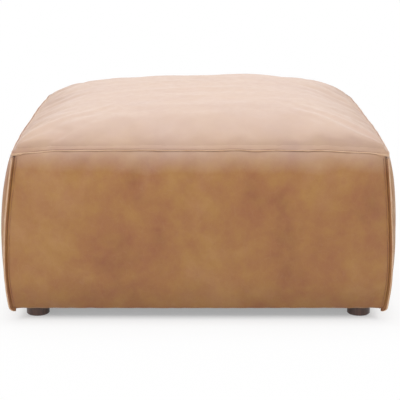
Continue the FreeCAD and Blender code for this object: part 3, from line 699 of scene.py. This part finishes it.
PAD_GAP = 5 * MM
PAD_BACK_GAP = 0.2 * MM
PAD_THINNEST = 0.5 * MM
CROWN_INNER_SHARE = 0.985
CROWN_ROWS = 3
pad_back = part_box("side_foam_front")[1][1]
pad_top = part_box("side_foam_front")[1][2]
all_normals = sum(normals)
all_normals = all_normals / np.maximum(np.linalg.norm(all_normals, axis=1), 1e-12)[:, None]


def open_edges(polygons):
    """The edges that only one of the faces has, each in that face's own direction."""
    edges = {(face[k], face[(k + 1) % len(face)]) for face in polygons for k in range(len(face))}
    return [(a, b) for a, b in edges if (b, a) not in edges]


def padding(name, polygons, behind, material, nodes):
    """A soft filling: its front follows the cover from inside, and its back is where behind() puts it."""
    used = sorted({index for face in polygons for index in face})
    place = {index: k for k, index in enumerate(used)}
    front = shape[used] - all_normals[used] * PAD_GAP
    back = [behind(point) for point in front]
    count = len(used)
    skin = [tuple(place[index] for index in face) for face in polygons]
    lining = [tuple(count + index for index in reversed(face)) for face in skin]
    rim = [(b, a, count + a, count + b) for a, b in sorted(open_edges(skin))]
    piece = make_object(name, list(front) + back, skin + lining + rim)
    piece.data.materials.append(material)
    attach(piece, BODY)
    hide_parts(*nodes)


def wall_faces(turn, first, last):
    """The faces of a side panel between two of its rows."""
    rows = walls[turn][first:last + 1]
    return [(lower[k], lower[k + 1], upper[k + 1], upper[k])
            for upper, lower in zip(rows, rows[1:]) for k in range(COLUMNS)]


for turn, side in enumerate(SIDES):
    def board_side(point, turn=turn):
        local = turned((4 - turn) % 4, *point)
        return turned(turn, local.x, max(pad_back - PAD_BACK_GAP, local.y + PAD_THINNEST), local.z)

    padding(f"side_pad_{side}", wall_faces(turn, CROWN_ROWS + 1, WALL_ROWS - 1), board_side, foam,
            [f"side_foam_{side}"])

crown_faces = [face for face, panel in zip(faces, face_panels) if panel == TOP]
for turn in range(4):
    crown_faces += wall_faces(turn, 0, CROWN_ROWS)


def seat_side(point):
    """The crown pad's underside, flat over the seat foam and the side pads."""
    return Vector((point[0] * CROWN_INNER_SHARE, point[1] * CROWN_INNER_SHARE, pad_top + PAD_THINNEST))


padding("crown_pad", crown_faces, seat_side, fibre, ["crown_cushion"])

SEAT_STEPS = 48
SEAT_GAP = 0.3 * MM
SEAT_SIDE_GAP = 1.5 * MM
SEAT_EDGE = 3
SEAT_BULGE = 1


def seat_block():
    """The foam block: its faces bulge a little and its cut edges are slightly rounded."""
    low, high = foam_low[2] + SEAT_GAP, foam_high[2] - SEAT_GAP
    half = FRAME_HALF - SEAT_SIDE_GAP
    edge = SEAT_EDGE * MM
    outline = ((low, SEAT_EDGE), (low + edge, 0), ((low + high) / 2, -SEAT_BULGE), (high - edge, 0),
               (high, SEAT_EDGE))
    values = [2 * k / SEAT_STEPS - 1 for k in range(SEAT_STEPS + 1)]
    spots = [math.copysign(1 - (1 - abs(value)) ** 1.4, value) for value in values]
    vertices = []
    for level, inset in outline:
        for v in spots:
            for u in spots:
                reach = (half - inset * MM) * (1 - 0.022 * (u * v) ** 40)
                uneven = 0.3 * MM * ripple((u, v, level), 0.2, 60)
                vertices.append((u * reach, v * reach, level + uneven * (1 if inset == SEAT_EDGE else 0)))
    size = SEAT_STEPS + 1
    polygons = []
    layers = len(outline)
    for m in range(SEAT_STEPS):
        for k in range(SEAT_STEPS):
            a = m * size + k
            polygons.append((a, a + size, a + size + 1, a + 1))
            b = (layers - 1) * size * size + a
            polygons.append((b, b + 1, b + size + 1, b + size))
    ring = list(range(SEAT_STEPS))
    ring += [k * size + SEAT_STEPS for k in range(SEAT_STEPS)]
    ring += [SEAT_STEPS * size + k for k in range(SEAT_STEPS, 0, -1)]
    ring += [k * size for k in range(SEAT_STEPS, 0, -1)]
    for layer in range(layers - 1):
        low_start, high_start = layer * size * size, (layer + 1) * size * size
        for k, here in enumerate(ring):
            following = ring[(k + 1) % len(ring)]
            polygons.append((low_start + here, low_start + following, high_start + following,
                             high_start + here))
    used = sorted({index for face in polygons for index in face})
    place = {index: k for k, index in enumerate(used)}
    polygons = [tuple(place[index] for index in face) for face in polygons]
    piece = make_object("seat_foam_block", [vertices[index] for index in used], polygons)
    piece.data.materials.append(foam)
    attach(piece, BODY)
    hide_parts("seat_foam")


seat_block()


def cloth_sheet(name, half, height, cells, holes, hole_radius):
    """A flat sheet of cloth over a square; height(x, y) gives its level, and holes are cut round."""
    values = [2 * half * k / cells - half for k in range(cells + 1)]
    grid = bmesh.new()
    spots = [[grid.verts.new((x, y, height(x, y))) for x in values] for y in values]
    for m in range(cells):
        for k in range(cells):
            corners = (spots[m][k], spots[m][k + 1], spots[m + 1][k + 1], spots[m + 1][k])
            middle = sum((corner.co for corner in corners), Vector()) / 4
            if all(math.hypot(middle.x - x, middle.y - y) > hole_radius for x, y in holes):
                grid.faces.new(corners)
    bmesh.ops.delete(grid, geom=[vert for vert in grid.verts if not vert.link_faces], context="VERTS")
    for vert in grid.verts:
        for x, y in holes:
            away = Vector((vert.co.x - x, vert.co.y - y))
            if vert.is_boundary and away.length < 1.6 * hole_radius:
                away = away.normalized() * hole_radius
                vert.co.x, vert.co.y = x + away.x, y + away.y
    data = bpy.data.meshes.new(name)
    grid.to_mesh(data)
    grid.free()
    for polygon in data.polygons:
        polygon.use_smooth = True
    piece = bpy.data.objects.new(name, data)
    bpy.context.collection.objects.link(piece)
    return piece


def give_thickness(piece, thickness):
    """Makes a sheet a cloth of the given thickness, half of it on each side."""
    thicken = piece.modifiers.new("thickness", "SOLIDIFY")
    thicken.thickness = thickness
    thicken.offset = 0


foot_low, foot_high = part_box("foot_front_right")
foot_middle = (foot_low[0] + foot_high[0]) / 2
foot_radius = (foot_high[0] - foot_low[0]) / 2
foot_spots = [(x * foot_middle, y * foot_middle) for x in (-1, 1) for y in (-1, 1)]
FOOT_HOLE_GAP = 2 * MM
DUST_SAG = 5 * MM
DUST_BORDER = 30 * MM
DUST_PULL = 0.7 * MM
DUST_STEP = 0.24 * MM
DUST_LIFT = 0.3 * MM
DUST_CLOTH = 0.6 * MM
DUST_CELLS = 108


def dust_level(x, y):
    """The dust cover: over the hem at its border, and sagging with soft pulls between the staples."""
    half = dust_high[0]
    inside = min(max((half - max(abs(x), abs(y))) / DUST_BORDER, 0), 1)
    sag = DUST_SAG * (1 - (x / half) ** 2) * (1 - (y / half) ** 2)
    pulls = DUST_PULL * ripple((x, y, 0), 0.05, 70) * inside
    step = DUST_STEP * inside * (1 - inside) * 4
    return BASE_LEVEL - DUST_LIFT + step - sag * inside - pulls


hole_radius = foot_radius + FOOT_HOLE_GAP
dust = cloth_sheet("dust_cloth", dust_high[0], dust_level, DUST_CELLS, foot_spots, hole_radius)
give_thickness(dust, DUST_CLOTH)
dust.data.materials.append(black_cloth)
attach(dust, BODY)
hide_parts("dust_cover")

insulator_low, insulator_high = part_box("insulator_cloth")
INSULATOR_GAP = 1 * MM
INSULATOR_CLOTH = 0.9 * MM
INSULATOR_CELLS = 60
INSULATOR_DIP = 0.25 * MM


def insulator_level(x, y):
    """The insulator: pressed flat by the foam, with the faint dips of the spring wires' gaps."""
    return (insulator_low[2] + insulator_high[2]) / 2 + INSULATOR_DIP * ripple((x, y, 0), 0.08, 75)


insulator_half = insulator_high[0] - INSULATOR_GAP
insulator = cloth_sheet("spring_insulator", insulator_half, insulator_level, INSULATOR_CELLS, (), 0)
give_thickness(insulator, INSULATOR_CLOTH)
insulator.data.materials.append(felt)
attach(insulator, BODY)
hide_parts("insulator_cloth")


# ---------------------------------------------------------------- raised seams

# Outline of one layer of leather in millimetres: out from the seam, and away from the other layer.
EDGE_PROFILE = ((-3.0, 0.10), (5.9, 0.16), (6.9, 0.45), (7.0, 1.10), (6.7, 1.85), (5.6, 2.10), (-2.0, 1.90),
                (-3.2, 1.00))
EDGE_REACH = 7
RAW_EDGE_SEGMENTS = (1, 2, 3, 4)
EDGE_UNEVEN = 0.10
EDGE_SWAY = 0.9 * MM
EDGE_SPREAD = 0.25 * MM
EAR_SHARE = 0.6
EAR_COLUMNS = 1.3

# Where the top panel runs out into its raised edge: as a share of its first row, and over its surface.
TOP_ROOTS = ((0.36, 0.35 * MM), (0.85, -1.5 * MM))
TOP_LAYER = 1

# How far the top seam's edges point down, at the front and back and at the sides.
EDGE_DROOP = 1.20
SIDE_DROOP = 0.30


def unit(vector):
    """The vector at length 1."""
    return vector / max(np.linalg.norm(vector), 1e-12)


def smoothed(rows, passes, closed):
    """A list of vectors with each one averaged with its neighbours, several times."""
    rows = np.array(rows)
    for _ in range(passes):
        if closed:
            rows = (np.roll(rows, 1, axis=0) + 2 * rows + np.roll(rows, -1, axis=0)) / 4
        else:
            rows[1:-1] = (rows[:-2] + 2 * rows[1:-1] + rows[2:]) / 4
    return rows


def seam_frames(line, first_normals, second_normals, closed):
    """Along a seam: its points, the way its raw edges point and the way across their two layers."""
    spots = shape[line]
    outwards = [unit(first_normals[index] + second_normals[index]) for index in line]
    if closed:
        flat = [unit(out * np.array((1, 1, 0))) for out in outwards]
        outwards = [unit(out - np.array((0, 0, SIDE_DROOP + (EDGE_DROOP - SIDE_DROOP) * out[1] ** 2)))
                    for out in flat]
    outwards = smoothed(outwards, 3, closed)
    if closed:
        tangents = np.roll(spots, -1, axis=0) - np.roll(spots, 1, axis=0)
    else:
        tangents = np.gradient(spots, axis=0)
    across = np.array([unit(np.cross(out, tangent)) for out, tangent in zip(outwards, tangents)])
    across = smoothed(across, 2, closed)
    outwards = np.array([unit(np.cross(tangent, side)) for tangent, side in zip(tangents, across)])
    return spots, outwards, across


def ear(k, closed):
    """How much longer the raised edge is at a cover's corner."""
    from_corner = min(k % COLUMNS, -k % COLUMNS) if closed else COLUMNS
    return 1 + EAR_SHARE * math.exp(-(from_corner / EAR_COLUMNS) ** 2)


def seam_edge(name, frames, closed, seed, roots=None):
    """The raised edge of a seam: two layers of leather side by side, with their cut edges showing."""
    spots, outwards, across = frames
    count = len(spots)
    vertices = []
    polygons = []
    raw = []
    size = len(EDGE_PROFILE)
    for layer in (1, -1):
        start = len(vertices)
        for k in range(count):
            where = tuple(spots[k])
            reach = ear(k, closed) * (1 + EDGE_UNEVEN * ripple(where, 0.05, seed + layer))
            sway = EDGE_SWAY * ripple(where, 0.045, seed + 7)
            spread = EDGE_SPREAD * (1 + ripple(where, 0.03, seed + 11 * layer))
            for out, side in EDGE_PROFILE:
                tip = max(out, 0) / EDGE_REACH
                shift = layer * (side * MM + spread * tip) + sway * tip
                vertices.append(spots[k] + outwards[k] * out * MM * reach + across[k] * shift)
            if roots is not None and layer == TOP_LAYER:
                vertices[-2:] = [root[k] for root in roots]
        rings = count if closed else count - 1
        for k in range(rings):
            following = (k + 1) % count
            for m in range(size):
                n = (m + 1) % size
                quad = (start + k * size + m, start + following * size + m,
                        start + following * size + n, start + k * size + n)
                polygons.append(quad if layer == 1 else tuple(reversed(quad)))
                raw.append(m in RAW_EDGE_SEGMENTS)
        if not closed:
            for end, flip in ((0, layer == -1), (count - 1, layer == 1)):
                cap = tuple(start + end * size + m for m in range(size))
                polygons.append(tuple(reversed(cap)) if flip else cap)
                raw.append(True)
    piece = make_object(name, vertices, polygons)
    piece.data.materials.append(leather)
    piece.data.materials.append(raw_edge)
    for polygon, is_raw in zip(piece.data.polygons, raw):
        polygon.material_index = 1 if is_raw else 0
    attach(piece, BODY)
    return piece


top_line = []
for wall in walls:
    top_line += wall[0][:-1]
wall_normals = sum(normals[:4])
top_frames = seam_frames(top_line, wall_normals, normals[TOP], closed=True)
roots = []
for share, height in TOP_ROOTS:
    spots = shape[top_line] * (1 - share) + shape[roll_line] * share
    roots.append(spots + normals[TOP][roll_line] * height)
seam_edge("seam_edge_top", top_frames, closed=True, seed=20, roots=roots)

SEAM_TOP_GAP = 1
corner_frames = []
for turn, corner in enumerate(CORNERS):
    line = [row[0] for row in walls[turn][SEAM_TOP_GAP:-1]]
    frames = seam_frames(line, normals[turn], normals[(turn + 3) % 4], closed=False)
    corner_frames.append(frames)
    seam_edge(f"seam_edge_{corner}", frames, closed=False, seed=30 + turn)


# ---------------------------------------------------------------- stitching

STITCH_RADIUS = 0.7 * MM
STITCH_SHARE = 0.68
SEAM_PITCH = 4.0 * MM
TOPSTITCH_PITCH = 3.4 * MM
TOPSTITCH_COLUMN_SHARE = 0.80
STITCH_STATIONS = ((-0.5, 0.25), (-0.34, 0.9), (0.34, 0.9), (0.5, 0.25))
STITCH_SIDES = 5
SEAM_STITCH_OUT = 3.2 * MM
SEAM_STITCH_SIDE = 2.15 * MM
TOPSTITCH_LIFT = 0.15 * MM
stitch_vertices = []
stitch_faces = []


def one_stitch(middle, forward, up, length):
    """A short rounded length of thread that lies on the leather."""
    side = np.cross(forward, up)
    start = len(stitch_vertices)
    for along, size in STITCH_STATIONS:
        sink = -0.35 * STITCH_RADIUS if size < 0.5 else 0
        for k in range(STITCH_SIDES):
            angle = 2 * math.pi * k / STITCH_SIDES
            round_part = up * math.cos(angle) + side * math.sin(angle)
            stitch_vertices.append(middle + forward * along * length + up * sink
                                   + round_part * STITCH_RADIUS * size)
    for ring in range(len(STITCH_STATIONS) - 1):
        for k in range(STITCH_SIDES):
            n = (k + 1) % STITCH_SIDES
            a = start + ring * STITCH_SIDES
            stitch_faces.append((a + k, a + n, a + STITCH_SIDES + n, a + STITCH_SIDES + k))
    last = start + (len(STITCH_STATIONS) - 1) * STITCH_SIDES
    stitch_faces.append(tuple(start + k for k in reversed(range(STITCH_SIDES))))
    stitch_faces.append(tuple(last + k for k in range(STITCH_SIDES)))


def stitch_row(spots, ups, pitch):
    """Stitches at an even pitch along a line of points, each lying flat against its normal."""
    spots, ups = np.array(spots), np.array(ups)
    gaps = np.linalg.norm(np.diff(spots, axis=0), axis=1)
    reach = np.concatenate(([0], np.cumsum(gaps)))
    count = int(reach[-1] / pitch)
    for k in range(count):
        here = (k + 0.5) * reach[-1] / count
        ahead = here + 0.25 * pitch
        middle = np.array([np.interp(here, reach, spots[:, axis]) for axis in range(3)])
        next_spot = np.array([np.interp(ahead, reach, spots[:, axis]) for axis in range(3)])
        up = unit(np.array([np.interp(here, reach, ups[:, axis]) for axis in range(3)]))
        forward = unit(next_spot - middle)
        up = unit(up - forward * np.dot(up, forward))
        one_stitch(middle, forward, up, STITCH_SHARE * pitch)


def closed_loop(rows):
    """The rows with the first one again at the end."""
    return np.concatenate((rows, rows[:1]))


for (spots, outwards, across), closed in [(top_frames, True)] + [(item, False) for item in corner_frames]:
    for layer in (1, -1):
        line = spots + outwards * SEAM_STITCH_OUT + across * layer * SEAM_STITCH_SIDE
        ups = across * layer
        if closed:
            line, ups = closed_loop(line), closed_loop(ups)
        stitch_row(line, ups, SEAM_PITCH)

for turn in range(4):
    for first, second in ((0, 1), (COLUMNS, COLUMNS - 1)):
        rows = walls[turn][1:-2]
        share = TOPSTITCH_COLUMN_SHARE
        ups = np.array([normals[turn][row[second]] for row in rows])
        line = np.array([shape[row[first]] * (1 - share) + shape[row[second]] * share for row in rows])
        stitch_row(line + ups * TOPSTITCH_LIFT, ups, TOPSTITCH_PITCH)

stitching = make_object("seam_stitches", stitch_vertices, stitch_faces)
stitching.data.materials.append(thread)
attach(stitching, BODY)


# ---------------------------------------------------------------- floor, light and camera

GLOW_START = 0.40
GLOW_END = 1.30
GLOW_STOPS = tuple((place, (value, value, value)) for place, value in (
    (0.0, 0.34), (0.04, 0.72), (0.10, 0.90), (0.24, 0.97), (1.0, 1.0)))
FLOOR_HALF = 30
WORLD_LIGHT = 0.40


def area_light(name, size, power, spot, target):
    """A soft lamp, size wide and high, that points at its target."""
    data = bpy.data.lights.new(name, "AREA")
    data.shape = "RECTANGLE"
    data.size, data.size_y = size
    data.energy = power
    lamp = bpy.data.objects.new(name, data)
    lamp.location = spot
    lamp.rotation_euler = (Vector(target) - Vector(spot)).to_track_quat("-Z", "Y").to_euler()
    bpy.context.collection.objects.link(lamp)


def largest(tree, first, second):
    """The larger of two values."""
    node = tree.nodes.new("ShaderNodeMath")
    node.operation = "MAXIMUM"
    tree.links.new(first, node.inputs[0])
    tree.links.new(second, node.inputs[1])
    return node.outputs[0]


def seen_factor(tree):
    """A factor of 1 for rays from the camera, from gloss and through glass, and 0 for light."""
    paths = tree.nodes.new("ShaderNodeLightPath")
    either = largest(tree, paths.outputs["Is Camera Ray"], paths.outputs["Is Glossy Ray"])
    return largest(tree, either, paths.outputs["Is Transmission Ray"])


def make_floor():
    """A pale floor that looks white and keeps the ottoman's shadow, which fades with distance from it."""
    corners = [(x * FLOOR_HALF, y * FLOOR_HALF, 0) for x, y in ((-1, -1), (1, -1), (1, 1), (-1, 1))]
    floor = make_object("studio_floor", corners, [(0, 1, 2, 3)], smooth=False)
    material = bpy.data.materials.new("studio_floor")
    material.use_nodes = True
    tree = material.node_tree
    surface = tree.nodes["Principled BSDF"]
    surface.inputs["Base Color"].default_value = (0.92, 0.92, 0.93, 1)
    surface.inputs["Roughness"].default_value = 0.9
    glow = tree.nodes.new("ShaderNodeEmission")
    glow.inputs["Color"].default_value = (1, 1, 1, 1)
    mix = tree.nodes.new("ShaderNodeMixShader")
    spots = tree.nodes.new("ShaderNodeTexCoord")
    size = tree.nodes.new("ShaderNodeVectorMath")
    size.operation = "ABSOLUTE"
    tree.links.new(spots.outputs["Object"], size.inputs[0])
    split = tree.nodes.new("ShaderNodeSeparateXYZ")
    tree.links.new(size.outputs["Vector"], split.inputs[0])
    away = largest(tree, split.outputs[0], split.outputs[1])
    part = levels(material, away, 0.0, 1.0, GLOW_START, GLOW_END)
    spread = ramp(material, part, GLOW_STOPS)
    amount = tree.nodes.new("ShaderNodeMath")
    amount.operation = "MULTIPLY"
    tree.links.new(spread, amount.inputs[0])
    tree.links.new(seen_factor(tree), amount.inputs[1])
    tree.links.new(amount.outputs[0], mix.inputs["Fac"])
    tree.links.new(surface.outputs["BSDF"], mix.inputs[1])
    tree.links.new(glow.outputs["Emission"], mix.inputs[2])
    output = tree.nodes["Material Output"]
    tree.links.new(mix.outputs["Shader"], output.inputs["Surface"])
    floor.data.materials.append(material)


def make_world():
    """Even, dim studio light all round, which looks white behind the object."""
    world = bpy.data.worlds.new("studio")
    bpy.context.scene.world = world
    world.use_nodes = True
    tree = world.node_tree
    dim = tree.nodes["Background"]
    dim.inputs["Color"].default_value = (1, 1, 1, 1)
    dim.inputs["Strength"].default_value = WORLD_LIGHT
    white = tree.nodes.new("ShaderNodeBackground")
    white.inputs["Color"].default_value = (1, 1, 1, 1)
    white.inputs["Strength"].default_value = 1.0
    mix = tree.nodes.new("ShaderNodeMixShader")
    tree.links.new(seen_factor(tree), mix.inputs["Fac"])
    tree.links.new(dim.outputs["Background"], mix.inputs[1])
    tree.links.new(white.outputs["Background"], mix.inputs[2])
    tree.links.new(mix.outputs["Shader"], tree.nodes["World Output"].inputs["Surface"])


make_floor()
make_world()
seat = (0, 0, SEAM_LEVEL)
area_light("overhead", (3.2, 2.8), 42, (0.0, -0.1, 2.4), seat)
area_light("behind", (5.0, 2.6), 24, (0.0, 3.6, 2.1), seat)
area_light("front_left", (1.8, 1.6), 21, (-1.9, -2.6, 1.5), seat)
area_light("front_right", (1.6, 1.4), 13, (2.2, -2.4, 1.4), seat)

LENS = 115
SENSOR = 36
TILT_DOWN = 13.69
CAMERA_SIDE = 4 * MM

# The camera's place in widths of the top seam at the front: away from that seam, and up from the floor.
CAMERA_AWAY = 3.309
CAMERA_UP = 1.1426
FRONT_PULL = 11 * MM
seam_width = 2 * (HALF - FRONT_PULL)
data = bpy.data.cameras.new("camera")
data.lens = LENS
data.sensor_width = SENSOR
camera = bpy.data.objects.new("camera", data)
camera.location = (CAMERA_SIDE, -seam_width * (0.5 + CAMERA_AWAY), seam_width * CAMERA_UP)
camera.rotation_euler = (math.radians(90 - TILT_DOWN), 0, 0)
bpy.context.collection.objects.link(camera)
bpy.context.scene.camera = camera
bpy.context.scene.view_settings.view_transform = "Standard"
